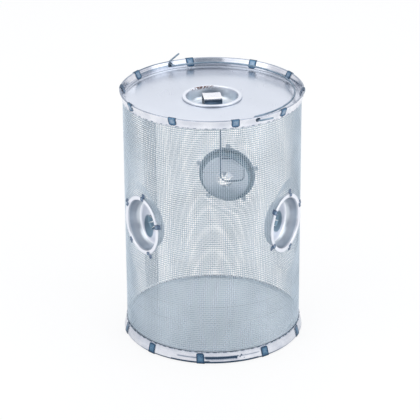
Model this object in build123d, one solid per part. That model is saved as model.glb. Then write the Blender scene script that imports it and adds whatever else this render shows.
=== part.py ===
from build123d import *
from math import asin, cos, radians, sin, sqrt, tan
import os

# A swarm trap: a standing cage of woven wire with a sheet floor and top, three
# one-way bee funnels in its wall and a lift-out hatch with a bait hook.
# Millimetres. The base stands on Z = 0, the axis of the cage is the Z axis and
# the front is -Y. An azimuth is measured from the front, and grows towards +X.

# Whole cage
overall_height = 295.0
wall_radius = 100.0
weave_thickness = 0.9
rim_sheet = 0.8
disc_sheet = 0.8
slip_gap = 0.15
touch_gap = 0.06

# Folded rims, which grip the edge of the weave between two skins and flare out
rim_flare = 3.6
rim_fold_width = 1.9
rim_fold_side = 1.2
top_rim_height = 10.0
bottom_rim_height = 13.0
rim_straight = 3.6
rim_disc_gap = 0.6
disc_recess = 11.5
disc_lip_height = 1.6

# Clips folded over the rims
rim_clip_sheet = 0.5
rim_clip_width = 9.0
rim_clip_reach = 8.6
bottom_clip_reach = 11.8
top_clip_azimuths = (14, 49, 87, 119, 152, 195, 238, 266, 299, 335)
bottom_clip_azimuths = (35, 71, 107, 142, 178, 213, 248, 283, 317, 352)

# Pressed dish, used three times as a funnel and once as the hatch
dish_sheet = 0.7
dish_mouth_radius = 29.5
dish_flange_width = 4.5
dish_draft = 3.0
dish_shoulder_width = 0.4
dish_depth = 13.5
dish_crown = 2.0
dish_corner_radius = 7.0

# Star cut in a funnel's floor
petal_count = 8
petal_apothem = 10.4
petal_slit = 0.5
petal_tip_width = 1.2
petal_bend = 62.0
petal_root = 0.4

# Funnels in the wall
funnel_height = 150.0
funnel_inset = 5.6
funnel_land_margin = 7.0
funnel_blend_slope = 22.0
wall_hole_gap = 1.0

# Clips that hold a funnel's flange on the weave
funnel_clip_width = 5.5
funnel_clip_sheet = 0.5
funnel_clip_foot = 5.0
funnel_clip_hold = 3.4
funnel_clip_lift = 0.25

funnels = {
    "left": (-56.5, (16, 85, 150, 229, 296)),
    "right": (59.5, (20, 74, 139, 212, 286)),
    "rear": (169.5, (20, 92, 164, 236, 308)),
}

# Hatch, with its grip strap
hatch_seat_gap = 0.2
hatch_hole_gap = 0.5
strap_sheet = 0.8
strap_width = 20.5
strap_span = 20.0
strap_foot = 5.0
strap_bend_radius = 1.6
strap_turn = 8.0

# Bait hook
hook_wire = 1.5
hook_x = 9.2
hook_bore_gap = 0.08
hook_rest_gap = 0.3
hook_crook = 6.0
hook_crook_radius = 1.6
hook_drop = 90.0
eye_width = 26.6
eye_height = 28.5
eye_shoulder_drop = 10.5
eye_shoulder_width = 14.5
eye_tilt = 1.6
eye_end_gap = 0.1

# Bail handle and the eyelets that it turns in
bail_wire = 2.0
bail_azimuth = 28.8
bail_inset = 7.0
bail_edge_drop = 3.4
bail_corner_radius = 3.0
bail_bore_gap = 0.08
bail_outset = 2.6
bail_tail = 16.5
bail_tail_corner = 2.2
bail_rear_tail_rise = 31.0
eyelet_barrel = 0.6
eyelet_flange = 2.7
eyelet_flange_sheet = 0.5

# Levels and radii that follow from the sizes above
wall_outer = wall_radius + weave_thickness / 2
wall_inner = wall_radius - weave_thickness / 2
rim_lip_radius = wall_radius + rim_flare
clip_sagitta = rim_lip_radius - sqrt(rim_lip_radius**2 - (rim_clip_width / 2) ** 2)
clip_stand = touch_gap + clip_sagitta
top_edge = overall_height - rim_clip_sheet - clip_stand
bottom_edge = rim_clip_sheet + clip_stand
top_disc_level = overall_height - disc_recess
floor_level = disc_recess + disc_sheet
hatch_level = top_disc_level + hatch_seat_gap
hatch_floor_level = hatch_level - dish_depth
top_inner_skin = top_edge - top_disc_level - disc_lip_height - rim_disc_gap
bottom_inner_skin = floor_level - disc_sheet - rim_disc_gap - bottom_edge
bail_level = top_edge - bail_edge_drop
dish_flange_radius = dish_mouth_radius + dish_flange_width
dish_floor_radius = dish_mouth_radius - dish_draft
dish_shoulder = dish_mouth_radius + dish_sheet + dish_shoulder_width
funnel_seat = wall_radius - funnel_inset
funnel_land = dish_flange_radius + funnel_land_margin
bail_radius = wall_radius - bail_inset
bail_outside = rim_lip_radius + bail_outset


def facing(azimuth, distance, height):
    """Plane that looks outwards from the axis, its X level and its Y straight up."""
    a = radians(azimuth)
    outward = Vector(sin(a), -cos(a), 0)
    level = Vector(cos(a), sin(a), 0)
    return Plane(outward * distance + Vector(0, 0, height), x_dir=level, z_dir=outward)


def turned(section):
    """Full turn about Z of a closed section given in the XZ plane."""
    return revolve(section, axis=Axis.Z)


def radial_section(points):
    """Closed section of straight sides through (radius, height) corners."""
    return Plane.XZ * make_face(Polyline(*points, close=True))


def rim_outline(height, inner_foot, edge, into):
    """Outside of a rim, from the foot of the outer skin to the foot of the inner skin.

    height and inner_foot are the lengths of the two skins. edge is the level of the
    folded edge, and into is +1 where the rim runs up from it and -1 where it runs down.
    """
    outer = wall_outer + slip_gap + rim_sheet
    inner = wall_inner - slip_gap - rim_sheet
    flare = height - rim_straight
    fold_inner = rim_lip_radius - rim_fold_width
    return [
        (outer, edge + into * height),
        (outer, edge + into * flare),
        (rim_lip_radius, edge + into * rim_fold_side),
        (rim_lip_radius, edge),
        (fold_inner, edge),
        (inner, edge + into * flare),
        (inner, edge + into * inner_foot),
        (wall_radius, edge + into * inner_foot),
        (wall_radius, edge + into * height),
    ]


def rim_core(height, inner_foot, edge, into):
    """Section of a rim before the groove for the weave is cut."""
    return radial_section(rim_outline(height, inner_foot, edge, into))


def rim(height, inner_foot, edge, into):
    """Rim of folded sheet: its hem is pressed shut, its feet straddle the weave's edge."""
    groove = [
        (wall_outer + slip_gap, edge + into * (height - rim_straight)),
        (wall_outer + slip_gap, edge + into * (height + rim_sheet)),
        (wall_inner - slip_gap, edge + into * (height + rim_sheet)),
        (wall_inner - slip_gap, edge + into * (height - rim_straight)),
    ]
    return turned(rim_core(height, inner_foot, edge, into)) - turned(radial_section(groove))


def rim_clips(core, edge, azimuths, outer_reach):
    """Clips folded over a rim's edge, each bent from a flat strip and pressed to both skins.

    The inner leg always has the same length, short enough to stay clear of the discs.
    """
    near = offset(core, amount=clip_stand, kind=Kind.INTERSECTION)
    far = offset(near, amount=rim_clip_sheet, kind=Kind.INTERSECTION)
    inner_box = Pos(wall_radius, edge) * Rectangle(wall_radius, 2 * rim_clip_reach)
    outer_box = Pos(1.5 * wall_radius, edge) * Rectangle(wall_radius, 2 * outer_reach)
    window = Plane.XZ * (inner_box + outer_box)
    clip = extrude((far - near) & window, amount=rim_clip_width / 2, both=True)
    return [Rot(0, 0, azimuth - 90) * clip for azimuth in azimuths]


def dimple(seat):
    """Flat land with a sloping border that a funnel presses into the round wall."""
    rise = wall_outer - funnel_seat + 6
    spread = rise / tan(radians(funnel_blend_slope))
    tool = Cone(funnel_land, funnel_land + spread, rise, align=(Align.CENTER, Align.CENTER, Align.MIN))
    return [
        facing(azimuth, seat, funnel_height) * tool
        for azimuth, _ in funnels.values()
    ]


def wall_mesh():
    """Woven wall as a sleeve of the weave's thickness, flattened and holed at each funnel."""
    low = bottom_edge + bottom_rim_height - rim_straight + slip_gap
    high = top_edge - top_rim_height + rim_straight - slip_gap
    tall = high - low
    standing = (Align.CENTER, Align.CENTER, Align.MIN)
    outside = Pos(0, 0, low) * Cylinder(wall_outer, tall, align=standing)
    inside = Pos(0, 0, low) * Cylinder(wall_inner, tall, align=standing)
    for tool in dimple(funnel_seat):
        outside -= tool
    for tool in dimple(funnel_seat - weave_thickness):
        inside -= tool
    sleeve = outside - inside
    for azimuth, _ in funnels.values():
        hole = Cylinder(dish_shoulder + wall_hole_gap, wall_radius / 2)
        sleeve -= facing(azimuth, funnel_seat, funnel_height) * hole
    return sleeve


def disc(level, hole_radius=0.0):
    """Round sheet with a short upturned lip that stands against the weave."""
    edge = wall_inner - slip_gap
    low = level - disc_sheet
    points = [
        (hole_radius, low),
        (edge, low),
        (edge, level + disc_lip_height),
        (edge - disc_sheet, level + disc_lip_height),
        (edge - disc_sheet, level),
        (hole_radius, level),
    ]
    return turned(radial_section(points))


def dish_blank():
    """Pressed dish about Z: hemmed flange on Z = 0, curved wall, flat floor."""
    under = dish_depth + dish_sheet
    points = [
        (0, -dish_depth),
        (dish_floor_radius, -dish_depth),
        (dish_mouth_radius, dish_crown),
        (dish_flange_radius, dish_crown),
        (dish_flange_radius, 0),
        (dish_shoulder, 0),
        (dish_floor_radius + dish_sheet, -under),
        (0, -under),
    ]
    corner = dish_corner_radius
    outline = FilletPolyline(*points, radius=[0, corner, 0, 0, 0, 0, corner + dish_sheet, 0], close=True)
    return turned(Plane.XZ * make_face(outline))


def petal():
    """One tongue of the star cut, bent into the cage from its root on the floor's edge."""
    side = 2 * petal_apothem * tan(radians(180 / petal_count))
    half_root = side / 2 - petal_slit / 2
    half_tip = petal_tip_width / 2
    length = petal_apothem - petal_tip_width / 2 / tan(radians(180 / petal_count))
    outline = Polygon(
        (-half_root, -petal_root),
        (half_root, -petal_root),
        (half_root, 0),
        (half_tip, length),
        (-half_tip, length),
        (-half_root, 0),
        align=None,
    )
    bend = radians(petal_bend)
    down = Vector(-cos(bend), 0, -sin(bend))
    across = Vector(0, 1, 0)
    root = Vector(petal_apothem, 0, -dish_depth - dish_sheet / 2)
    lay = Plane(root, x_dir=across, z_dir=across.cross(down))
    return lay * extrude(outline, amount=dish_sheet / 2, both=True)


def funnel_dish():
    """Dish with the star cut: the tongues lead inwards and leave a narrow way."""
    star = RegularPolygon(petal_apothem, petal_count, major_radius=False)
    half_side = 180 / petal_count
    opening = Rot(0, 0, half_side) * extrude(star, amount=3 * dish_depth, both=True)
    tongue = petal()
    dish = dish_blank() - opening
    for n in range(petal_count):
        dish += Rot(0, 0, 360 / petal_count * n) * tongue
    return dish


def funnel_clip(angle):
    """Bent strip over a funnel's flange, its foot laid along the weave at this angle round it."""
    turn = radians(angle)
    half = funnel_clip_width / 2
    sheet = funnel_clip_sheet
    foot_end = dish_flange_radius + funnel_clip_foot
    crown = dish_crown + touch_gap
    start = dish_flange_radius - funnel_clip_hold
    step = dish_flange_radius + touch_gap
    land_edge = sqrt(wall_outer**2 - funnel_seat**2)
    near_end = foot_end * abs(cos(turn)) - half * abs(sin(turn))
    knee = (land_edge + half * abs(sin(turn))) / max(abs(cos(turn)), 0.1)
    knee = max(knee, step + 2 * sheet)
    drop = sqrt(wall_outer**2 - near_end**2) - funnel_seat + funnel_clip_lift
    foot = [(foot_end, touch_gap), (foot_end, touch_gap + sheet)]
    if knee < foot_end - sheet:
        sole = [(knee, touch_gap), (foot_end, min(drop, touch_gap))]
        back = [(x, z + sheet) for x, z in reversed(sole)]
        foot = sole + back
    points = [
        (start, crown),
        (step, crown),
        (step, touch_gap),
        *foot,
        (step + sheet, touch_gap + sheet),
        (step + sheet, crown + sheet),
        (start, crown + sheet),
    ]
    side = extrude(make_face(Polyline(*points, close=True)), amount=half, both=True)
    return Rot(0, 0, angle) * (Rot(90, 0, 0) * side)


def hatch_dish():
    """Dish without the star cut, with a small bore for the hook's stem."""
    bore = Cylinder(hook_wire / 2 + hook_bore_gap, 4 * dish_depth)
    return Pos(0, 0, hatch_level) * (dish_blank() - Pos(hook_x, 0, 0) * bore)


def hatch_strap():
    """Grip bent from one strip, with its two feet on the floor of the hatch."""
    base = touch_gap
    height = dish_depth + dish_crown
    half = strap_span / 2
    end = half + strap_foot
    s = strap_sheet
    points = [
        (-end, base),
        (-half + s, base),
        (-half + s, height - s),
        (half - s, height - s),
        (half - s, base),
        (end, base),
        (end, base + s),
        (half, base + s),
        (half, height),
        (-half, height),
        (-half, base + s),
        (-end, base + s),
    ]
    tight = strap_bend_radius - s
    wide = strap_bend_radius
    radii = [0, wide, tight, tight, wide, 0, 0, tight, wide, wide, tight, 0]
    face = Plane.YZ * make_face(FilletPolyline(*points, radius=radii, close=True))
    strap = extrude(face, amount=strap_width / 2, both=True)
    return Pos(0, 0, hatch_floor_level) * (Rot(0, 0, strap_turn) * strap)


def bait_hook():
    """Wire with a crook above the hatch's floor, a straight stem and a closed eye."""
    lay = hatch_floor_level + hook_rest_gap + hook_wire / 2
    low = hatch_floor_level - hook_drop
    high = low + eye_height
    side = hook_x + eye_width
    end = hook_x + hook_wire + eye_end_gap
    points = [
        (hook_x, -hook_crook, lay),
        (hook_x, 0, lay),
        (hook_x, 0, low),
        (side, 0, low + eye_tilt),
        (side, 0, high - eye_shoulder_drop),
        (hook_x + eye_shoulder_width, 0, high),
        (end, 0, high),
    ]
    path = FilletPolyline(*points, radius=[hook_crook_radius, 8.0, 5.5, 5.5, 9.0])
    start = Plane(Vector(*points[0]), z_dir=(0, 1, 0))
    return sweep(start * Circle(hook_wire / 2), path=path)


def bail_handle():
    """Bail that lies folded inside the top rim, its ends turned back outside the eyelets."""
    a = radians(bail_azimuth)
    along = Vector(sin(a), -cos(a), 0)
    side = Vector(cos(a), sin(a), 0)
    level = Vector(0, 0, bail_level)
    reach = bail_radius + bail_corner_radius
    slack = asin(bail_corner_radius / reach)
    leave = bail_radius * cos(slack)
    drift = bail_radius * sin(slack)
    turn = reach * cos(slack)
    rise = radians(bail_rear_tail_rise)
    rear_tail = side * cos(rise) + Vector(0, 0, sin(rise))

    front_on_arc = level + along * leave + side * drift
    rear_on_arc = level - along * leave + side * drift
    half_turn = (bail_corner_radius * (1 - sin(radians(45))), bail_corner_radius * sin(radians(45)))

    def corner(direction):
        centre = level + direction * turn + side * bail_corner_radius
        return centre - side * (bail_corner_radius - half_turn[0]) - direction * half_turn[1]

    bow = ThreePointArc(front_on_arc, level + side * bail_radius, rear_on_arc)
    front_corner = ThreePointArc(level + along * turn, corner(along), front_on_arc)
    rear_corner = ThreePointArc(rear_on_arc, corner(along * -1), level - along * turn)
    front_end = FilletPolyline(
        level + along * bail_outside + side * bail_tail,
        level + along * bail_outside,
        level + along * turn,
        radius=bail_tail_corner,
    )
    rear_end = FilletPolyline(
        level - along * turn,
        level - along * bail_outside,
        level - along * bail_outside + rear_tail * bail_tail,
        radius=bail_tail_corner,
    )
    path = Wire(
        front_end.edges() + front_corner.edges() + bow.edges() + rear_corner.edges() + rear_end.edges()
    )
    start = Plane(level + along * bail_outside + side * bail_tail, z_dir=side * -1)
    return sweep(start * Circle(bail_wire / 2), path=path)


def pivot_plane(side):
    """Plane across the bail's pivot line, at the front-right (+1) or the rear-left (-1)."""
    azimuth = bail_azimuth if side > 0 else bail_azimuth + 180
    return facing(azimuth, 0, bail_level)


def eyelets(core):
    """Two eyelets pressed into the rim, dressed down onto both of its skins."""
    bore = bail_wire / 2 + bail_bore_gap
    barrel = bore + eyelet_barrel
    made = []
    for side in (1, -1):
        line = pivot_plane(side)
        start = wall_inner - rim_sheet
        long = rim_lip_radius - start
        grown = turned(offset(core, amount=eyelet_flange_sheet + touch_gap, kind=Kind.INTERSECTION))
        shell = turned(offset(core, amount=touch_gap, kind=Kind.INTERSECTION))
        standing = (Align.CENTER, Align.CENTER, Align.MIN)
        run = line * Pos(0, 0, start - 2)
        flange = (run * Cylinder(eyelet_flange, long + 4, align=standing)) & (grown - shell)
        tube = (run * Cylinder(barrel, long + 4, align=standing)) & grown
        made.append(flange + tube - run * Cylinder(bore, long + 4, align=standing))
    return made


def bored_for_eyelets(top_rim):
    """Top rim with its two holes for the eyelets."""
    hole = bail_wire / 2 + bail_bore_gap + eyelet_barrel + touch_gap / 2
    standing = (Align.CENTER, Align.CENTER, Align.MIN)
    for side in (1, -1):
        start = Pos(0, 0, wall_radius / 2)
        top_rim -= pivot_plane(side) * start * Cylinder(hole, wall_radius, align=standing)
    return top_rim


def write(name, pieces):
    """Write one node, and say how many solids and how much metal it holds."""
    solids = [s for piece in pieces for s in piece.solids()]
    shape = solids[0] if len(solids) == 1 else Compound(children=solids)
    shape.label = name
    export_step(shape, os.path.join("parts", name + ".step"))
    volume = sum(s.volume for s in solids)
    print(f"{name}: {len(solids)} solid(s), {volume:.0f} mm3")


def build():
    os.makedirs("parts", exist_ok=True)
    top_rim = top_rim_height, top_inner_skin, top_edge, -1
    bottom_rim = bottom_rim_height, bottom_inner_skin, bottom_edge, 1
    top_core = rim_core(*top_rim)
    bottom_core = rim_core(*bottom_rim)
    write("wall_mesh", [wall_mesh()])
    write("top_rim", [bored_for_eyelets(rim(*top_rim))])
    write("bottom_rim", [rim(*bottom_rim)])
    write("top_disc", [disc(top_disc_level, dish_shoulder + hatch_hole_gap)])
    write("floor_disc", [disc(floor_level)])
    write("top_rim_clips", rim_clips(top_core, top_edge, top_clip_azimuths, rim_clip_reach))
    write("bottom_rim_clips", rim_clips(bottom_core, bottom_edge, bottom_clip_azimuths, bottom_clip_reach))
    dish = funnel_dish()
    for name, (azimuth, clip_angles) in funnels.items():
        seat = facing(azimuth, funnel_seat + touch_gap, funnel_height)
        write("funnel_" + name, [seat * dish])
        write("funnel_" + name + "_clips", [seat * funnel_clip(angle) for angle in clip_angles])
    write("hatch_dish", [hatch_dish()])
    write("hatch_strap", [hatch_strap()])
    write("bait_hook", [bait_hook()])
    write("bail_handle", [bail_handle()])
    write("bail_eyelets", eyelets(top_core))


build()
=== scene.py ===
# %% [markdown]
# ## A swarm trap of woven wire and folded sheet
# The trap is a standing cage for catching a swarm of bees. Its wall is woven wire, its
# floor and top are sheet, and folded rims with clips hold them together. Three pressed
# funnels with a star cut let bees in, and a lift-out hatch carries a bait hook.
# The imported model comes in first. It is the fixed frame: every piece made here is placed
# on it, in metres, with the base at Z = 0, the axis on Z and the front facing -Y.

# %% Load the frame
from math import asin, cos, pi, radians, sin, sqrt, tan

import bpy
import numpy as np
from mathutils import Matrix, Vector


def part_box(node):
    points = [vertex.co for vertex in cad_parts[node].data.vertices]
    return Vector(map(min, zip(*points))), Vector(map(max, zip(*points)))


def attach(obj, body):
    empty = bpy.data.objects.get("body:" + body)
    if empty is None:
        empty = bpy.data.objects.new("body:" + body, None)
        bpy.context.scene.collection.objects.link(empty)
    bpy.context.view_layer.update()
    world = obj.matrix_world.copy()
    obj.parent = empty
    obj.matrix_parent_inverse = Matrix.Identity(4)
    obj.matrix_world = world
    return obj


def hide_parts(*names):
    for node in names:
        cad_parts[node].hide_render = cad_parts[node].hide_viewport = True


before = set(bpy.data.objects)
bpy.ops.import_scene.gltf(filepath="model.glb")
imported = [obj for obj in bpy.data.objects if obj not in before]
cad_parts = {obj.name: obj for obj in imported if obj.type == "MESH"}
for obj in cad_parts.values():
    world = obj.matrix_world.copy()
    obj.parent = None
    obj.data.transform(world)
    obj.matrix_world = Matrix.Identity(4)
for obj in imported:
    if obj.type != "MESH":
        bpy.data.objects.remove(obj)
scene = bpy.context.scene
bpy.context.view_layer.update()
mm = 0.001

# %% [markdown]
# ## The camera
# The photograph looks down at the trap by about 24 degrees from far away, so a long lens
# is used. The place and the turn were found by matching the two rims, the floor line and
# the funnels. The camera is built from its three axes, because a small roll is easier to
# read that way than as three angles.

# %% Camera
camera_place = Vector((0.0, -2.15876, 1.09746))
camera_yaw = radians(-0.08)
camera_pitch = radians(23.809)
camera_roll = radians(-0.307)

camera_data = bpy.data.cameras.new("camera")
camera_data.sensor_width = 36.0
camera_data.lens = 176.1
camera = bpy.data.objects.new("camera", camera_data)
scene.collection.objects.link(camera)
level_reach = cos(camera_pitch)
ahead = Vector((sin(camera_yaw) * level_reach, cos(camera_yaw) * level_reach, -sin(camera_pitch)))
level = ahead.cross(Vector((0, 0, 1))).normalized()
above = level.cross(ahead)
right = level * cos(camera_roll) + above * sin(camera_roll)
up = above * cos(camera_roll) - level * sin(camera_roll)
camera.matrix_world = Matrix.Translation(camera_place) @ Matrix((right, up, -ahead)).transposed().to_4x4()
scene.camera = camera
print("camera looks down by", round(camera_pitch * 180 / pi, 1), "degrees")

# %% [markdown]
# ## The studio
# Bright metal shows its room more than its own colour, so the room matters most here.
# The background is plain white to the camera. What the metal mirrors is a light tent:
# white all round, with a cool grey opening above the lens, which gives the folded rims
# their dark lines. Three wide lamps give the soft highlights.

# %% World
scene.view_settings.view_transform = "Standard"
world = bpy.data.worlds.new("tent")
scene.world = world
world.use_nodes = True


def add(tree, kind, **values):
    """One node, with its plain properties set by name."""
    node = tree.nodes.new(kind)
    for key, value in values.items():
        setattr(node, key, value)
    return node


def ramp(tree, source, stops):
    """A colour ramp driven by source, from (position, colour) stops."""
    node = add(tree, "ShaderNodeValToRGB")
    elements = node.color_ramp.elements
    elements[0].position, elements[1].position = stops[0][0], stops[-1][0]
    for position, colour in stops[1:-1]:
        elements.new(position)
    for element, (position, colour) in zip(elements, stops):
        element.color = (*colour, 1.0)
    tree.links.new(source, node.inputs["Fac"])
    return node.outputs["Color"]


def blended(tree, factor, first, second, how="MIX"):
    """Two colours mixed; each may be a socket or a colour, and factor a socket or a number."""
    node = add(tree, "ShaderNodeMix", data_type="RGBA", blend_type=how)
    for socket, value in ((node.inputs[0], factor), (node.inputs[6], first), (node.inputs[7], second)):
        if isinstance(value, bpy.types.NodeSocket):
            tree.links.new(value, socket)
        elif isinstance(value, tuple):
            socket.default_value = (*value, 1.0)
        else:
            socket.default_value = value
    return node.outputs[2]


def maths(tree, how, first, second=0.0, third=0.0):
    """One arithmetic node; each value may be a socket or a number."""
    node = add(tree, "ShaderNodeMath", operation=how)
    for socket, value in zip(node.inputs, (first, second, third)):
        if isinstance(value, bpy.types.NodeSocket):
            tree.links.new(value, socket)
        else:
            socket.default_value = value
    return node.outputs[0]


def seen_directly(tree):
    """1 for rays that come from the camera, also through clear material, and 0 for the rest."""
    rays = add(tree, "ShaderNodeLightPath")
    return maths(tree, "MAXIMUM", rays.outputs["Is Camera Ray"], rays.outputs["Is Transmission Ray"])


none, full = (0.0, 0.0, 0.0), (1.0, 1.0, 1.0)
tree = world.node_tree
tree.nodes.clear()
direction = add(tree, "ShaderNodeTexCoord").outputs["Generated"]
parts = add(tree, "ShaderNodeSeparateXYZ")
tree.links.new(direction, parts.inputs[0])
rise = maths(tree, "MULTIPLY_ADD", parts.outputs["Z"], 0.5, 0.5)
dark_cloth = (0.20, 0.25, 0.32)
opening = ramp(tree, rise, [(0.56, (0.94, 0.94, 0.97)), (0.62, dark_cloth), (0.76, dark_cloth),
                            (0.88, (0.90, 0.91, 0.95))])
front = ramp(tree, maths(tree, "MULTIPLY", parts.outputs["Y"], -1.0), [(0.30, none), (0.85, full)])
mirrored = blended(tree, front, (0.92, 0.93, 0.97), opening)
rays = add(tree, "ShaderNodeLightPath")
seen = blended(tree, rays.outputs["Is Glossy Ray"], (0.86, 0.88, 0.92), mirrored)
colour = blended(tree, seen_directly(tree), seen, full)
glow = add(tree, "ShaderNodeBackground")
glow.inputs["Strength"].default_value = 1.0
tree.links.new(colour, glow.inputs["Color"])
tree.links.new(glow.outputs[0], add(tree, "ShaderNodeOutputWorld").inputs["Surface"])

# %% Lamps and floor
def lamp(name, place, aim, size, watts, tint):
    """A square soft lamp that looks at a point."""
    data = bpy.data.lights.new(name, "AREA")
    data.shape = "SQUARE"
    data.size = size
    data.energy = watts
    data.color = tint
    thing = bpy.data.objects.new(name, data)
    scene.collection.objects.link(thing)
    thing.location = place
    thing.rotation_euler = (Vector(aim) - Vector(place)).to_track_quat("-Z", "Y").to_euler()


middle = (0.0, 0.0, 0.15)
lamp("key_left", (-1.2, -1.0, 1.5), middle, 1.9, 10.5, (1.0, 0.99, 0.98))
lamp("fill_right", (1.35, -0.8, 1.1), middle, 1.7, 9.5, (0.97, 0.98, 1.0))
lamp("top_rear", (0.1, 0.9, 1.4), middle, 1.0, 3.0, full)

floor_mesh = bpy.data.meshes.new("floor")
floor_half = 6
floor_corners = [(-floor_half, -floor_half, 0), (floor_half, -floor_half, 0), (floor_half, floor_half, 0),
                 (-floor_half, floor_half, 0)]
floor_mesh.from_pydata(floor_corners, [], [(0, 1, 2, 3)])
floor = bpy.data.objects.new("floor", floor_mesh)
scene.collection.objects.link(floor)
floor_paint = bpy.data.materials.new("floor_paint")
floor_paint.use_nodes = True
tree = floor_paint.node_tree
tree.nodes.clear()
matt = add(tree, "ShaderNodeBsdfDiffuse")
matt.inputs["Color"].default_value = (0.9, 0.9, 0.9, 1.0)
white = add(tree, "ShaderNodeEmission")
share = maths(tree, "MULTIPLY", seen_directly(tree), 0.8)
mixed = add(tree, "ShaderNodeMixShader")
tree.links.new(share, mixed.inputs[0])
tree.links.new(matt.outputs[0], mixed.inputs[1])
tree.links.new(white.outputs[0], mixed.inputs[2])
tree.links.new(mixed.outputs[0], add(tree, "ShaderNodeOutputMaterial").inputs["Surface"])
floor.data.materials.append(floor_paint)
print("lamps", len(bpy.data.lights), "floor", 2 * floor_half, "m")

# %% [markdown]
# ## The finishes
# Everything on the trap is steel, but no two pieces look alike. Rolled sheet has soft
# clouds and a faint grain, pressed dishes are stretched and duller, drawn wire has fine
# lines, and clips that were heated carry blue and grey temper colours. One function
# makes them all: two tones mixed by soft clouds, a roughness that wanders, and a bump
# of two scales, shallow dents and fine grain. Where a piece also has lines, edges or
# shaded parts, its mesh carries a value called "away", and a tone function turns that
# value into tones over the base: temper colours on the clips, with painted shade at
# their edges, and painted shade and painted highlights on the rims, dishes, hatch and
# grip. Colour from a picture would be quicker, but it would hold only for one size of
# the piece.

# %% Steel
def noise(tree, where, scale, detail=2.0):
    """Noise read at a place."""
    node = add(tree, "ShaderNodeTexNoise")
    node.inputs["Scale"].default_value = scale
    node.inputs["Detail"].default_value = detail
    tree.links.new(where, node.inputs["Vector"])
    return node.outputs["Fac"]


def bump(tree, height, strength, depth):
    """A bump that is this deep, in metres."""
    node = add(tree, "ShaderNodeBump")
    node.inputs["Strength"].default_value = strength
    node.inputs["Distance"].default_value = depth
    tree.links.new(height, node.inputs["Height"])
    return node


def steel(name, light, dark, rough, cloud=30.0, grain=900.0, stretch=(1, 1, 1), dents=0.0, tint=None):
    """A steel finish. rough is (least, most); tint may add its own colour to the base."""
    material = bpy.data.materials.new(name)
    material.use_nodes = True
    tree = material.node_tree
    shader = tree.nodes["Principled BSDF"]
    shader.inputs["Metallic"].default_value = 1.0
    where = add(tree, "ShaderNodeTexCoord").outputs["Object"]
    drawn = add(tree, "ShaderNodeMapping")
    drawn.inputs["Scale"].default_value = stretch
    tree.links.new(where, drawn.inputs["Vector"])
    clouds = noise(tree, where, cloud, 5.0)
    fine = noise(tree, drawn.outputs[0], grain, 3.0)
    base = ramp(tree, clouds, [(0.30, dark), (0.66, light)])
    base = blended(tree, 0.12, base, ramp(tree, fine, [(0.35, dark), (0.65, light)]))
    if tint:
        base = tint(tree, where, base)
    tree.links.new(base, shader.inputs["Base Color"])
    wander = add(tree, "ShaderNodeMapRange")
    wander.inputs["From Min"].default_value = 0.3
    wander.inputs["From Max"].default_value = 0.7
    wander.inputs["To Min"].default_value = rough[0]
    wander.inputs["To Max"].default_value = rough[1]
    both = maths(tree, "MULTIPLY_ADD", fine, 0.4, maths(tree, "MULTIPLY", clouds, 0.6))
    tree.links.new(both, wander.inputs["Value"])
    tree.links.new(wander.outputs[0], shader.inputs["Roughness"])
    lines = bump(tree, fine, 0.10, 0.05 * mm)
    normal = lines
    if dents:
        normal = bump(tree, noise(tree, where, 26.0, 1.5), 1.0, dents * mm)
        tree.links.new(lines.outputs[0], normal.inputs["Normal"])
    tree.links.new(normal.outputs[0], shader.inputs["Normal"])
    return material


def temper_and_painted_shade(attribute, stops, ragged=0.35):
    """Tones over the base, spread by a value that the mesh carries: temper colours on the clips, painted
    shade and painted highlights on the other pieces.
    """
    def spread(tree, where, base):
        value = add(tree, "ShaderNodeAttribute", attribute_name=attribute).outputs["Fac"]
        shifted = maths(tree, "MULTIPLY_ADD", noise(tree, where, 420.0), ragged, value)
        return blended(tree, 1.0, ramp(tree, shifted, stops), base, "MULTIPLY")
    return spread


# %% Wire finishes
woven_wire = steel("woven_wire", (0.88, 0.95, 1.0), (0.58, 0.655, 0.715), (0.30, 0.48), cloud=18.0,
                   grain=1500.0)
# Painted shade: the rings are darker than the uprights, so the level wires read as shaded.
shaded_ring_wire = steel("shaded_ring_wire", (0.56, 0.66, 0.74), (0.30, 0.39, 0.46), (0.30, 0.48), cloud=18.0,
                  grain=1500.0)
dull_shaded_ring_wire = steel("dull_shaded_ring_wire", (0.48, 0.57, 0.64), (0.29, 0.37, 0.43), (0.32, 0.50), cloud=60.0,
                  grain=1500.0)
# Painted shade: the seam's wires are darker than the wall's, for the shade of the double layer.
shaded_seam_wire = steel("shaded_seam_wire", (0.33, 0.41, 0.48), (0.17, 0.23, 0.29), (0.32, 0.50), cloud=60.0,
                  grain=1500.0)
drawn_wire = steel("drawn_wire", (0.20, 0.27, 0.35), (0.10, 0.15, 0.21), (0.30, 0.45), cloud=120.0)
bail_wire = steel("bail_wire", (0.27, 0.35, 0.43), (0.13, 0.19, 0.25), (0.26, 0.40), cloud=120.0)

# %% Sheet finishes
# Tones for the rims' value: the dark end is painted shade and painted dark reflection, the light end
# leaves the sheet as it is.
rim_tones = [(0.02, (0.05, 0.09, 0.14)), (0.30, (0.34, 0.40, 0.47)), (0.62, (0.86, 0.87, 0.90)),
             (1.0, full)]
rim_steel = steel("rim_steel", (0.84, 0.845, 0.87), (0.62, 0.64, 0.70), (0.11, 0.22), cloud=60.0,
                  stretch=(0.2, 0.2, 1.0), dents=0.35, tint=temper_and_painted_shade("away", rim_tones, 0.20))
disc_steel = steel("disc_steel", (0.68, 0.715, 0.775), (0.655, 0.69, 0.75), (0.26, 0.34), cloud=14.0,
                   stretch=(1.0, 0.06, 1.0), dents=0.10)
floor_steel = steel("floor_steel", (0.68, 0.73, 0.765), (0.63, 0.68, 0.72), (0.30, 0.40), cloud=14.0,
                    stretch=(1.0, 0.06, 1.0), dents=0.10)
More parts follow.
